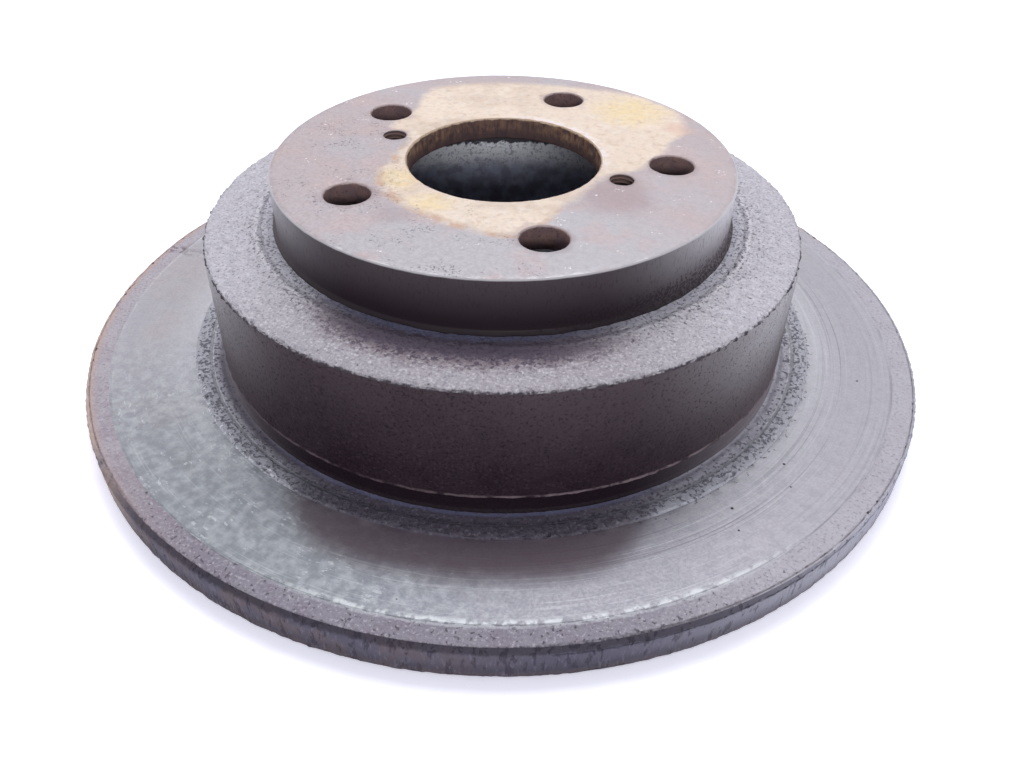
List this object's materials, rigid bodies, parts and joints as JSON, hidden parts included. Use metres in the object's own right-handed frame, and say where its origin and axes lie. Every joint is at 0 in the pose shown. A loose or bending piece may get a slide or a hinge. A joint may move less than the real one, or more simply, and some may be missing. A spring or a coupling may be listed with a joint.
{
  "type": "brake disc",
  "caption": "Worn solid rear brake disc with a two-tier hat that holds a parking brake drum, wheel stud holes and threaded jacking holes.",
  "frame": {"origin": "where the axle's axis meets the plane of the inboard friction face", "axes": "+Z along the axle towards the wheel, +X through one jacking hole, +Y through one wheel stud hole"},
  "size_m": [0.266, 0.266, 0.066],
  "materials": {
    "cast_iron": "used grey iron: turned and pad-worn faces with fine grooves, rusted cast skin, rim and bore"
  },
  "bodies": {
    "root": {"brake_disc": "cast_iron"}
  },
  "joints": []
}
